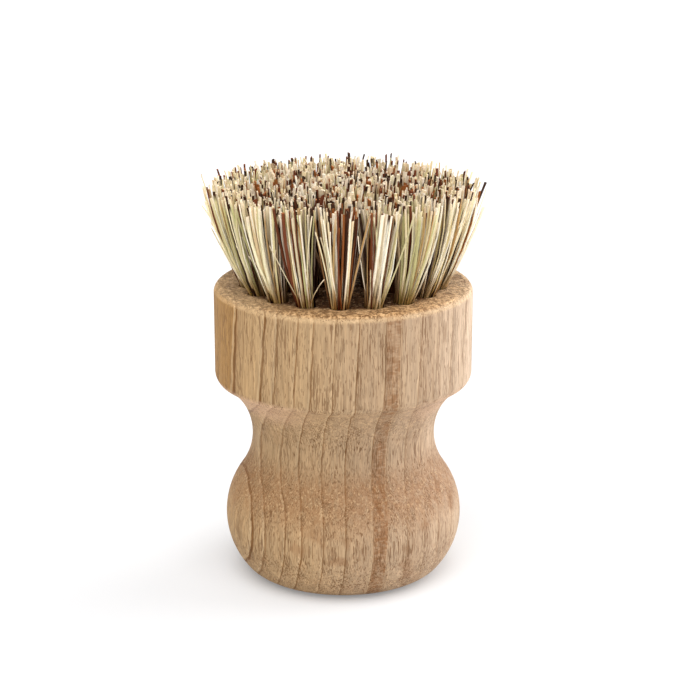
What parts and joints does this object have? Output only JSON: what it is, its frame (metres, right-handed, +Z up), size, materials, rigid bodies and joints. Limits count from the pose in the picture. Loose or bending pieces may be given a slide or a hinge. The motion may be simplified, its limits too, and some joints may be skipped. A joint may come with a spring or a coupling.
{
  "type": "palm brush",
  "caption": "Hand brush with a turned wooden block: ball-shaped palm grip, waisted neck and broad round head set with stiff, fanned tufts of plant fibre.",
  "frame": {"origin": "centre of the flat foot that the brush stands on, on the axis that the block is turned about", "axes": "+Z up along the block's axis, from the foot through the grip and neck to the bristles; the block is round about Z, and -Y looks at the first tuft of each ring"},
  "size_m": [0.0512, 0.0514, 0.0776],
  "materials": {
    "block_wood": "satin",
    "light_bristle": "matte",
    "dark_bristle": "matte",
    "staple_wire": "satin"
  },
  "bodies": {
    "root": {"wood_block": "block_wood", "staples": "staple_wire", "tuft_middle": "light_bristle", "tuft_ring1_1": "light_bristle", "tuft_ring1_2": "light_bristle", "tuft_ring1_3": "dark_bristle", "tuft_ring1_4": "light_bristle", "tuft_ring1_5": "light_bristle", "tuft_ring1_6": "light_bristle", "tuft_ring2_1": "dark_bristle", "tuft_ring2_2": "light_bristle", "tuft_ring2_3": "light_bristle", "tuft_ring2_4": "light_bristle", "tuft_ring2_5": "dark_bristle", "tuft_ring2_6": "light_bristle", "tuft_ring2_7": "light_bristle", "tuft_ring2_8": "light_bristle", "tuft_ring2_9": "dark_bristle", "tuft_ring2_10": "light_bristle", "tuft_ring2_11": "light_bristle", "tuft_ring2_12": "light_bristle", "tuft_ring3_1": "dark_bristle", "tuft_ring3_2": "light_bristle", "tuft_ring3_3": "light_bristle", "tuft_ring3_4": "light_bristle", "tuft_ring3_5": "dark_bristle", "tuft_ring3_6": "light_bristle", "tuft_ring3_7": "light_bristle", "tuft_ring3_8": "light_bristle", "tuft_ring3_9": "dark_bristle", "tuft_ring3_10": "light_bristle", "tuft_ring3_11": "light_bristle", "tuft_ring3_12": "light_bristle", "tuft_ring3_13": "dark_bristle", "tuft_ring3_14": "light_bristle", "tuft_ring3_15": "light_bristle", "tuft_ring3_16": "light_bristle", "tuft_ring3_17": "dark_bristle", "tuft_ring3_18": "light_bristle"}
  },
  "joints": []
}
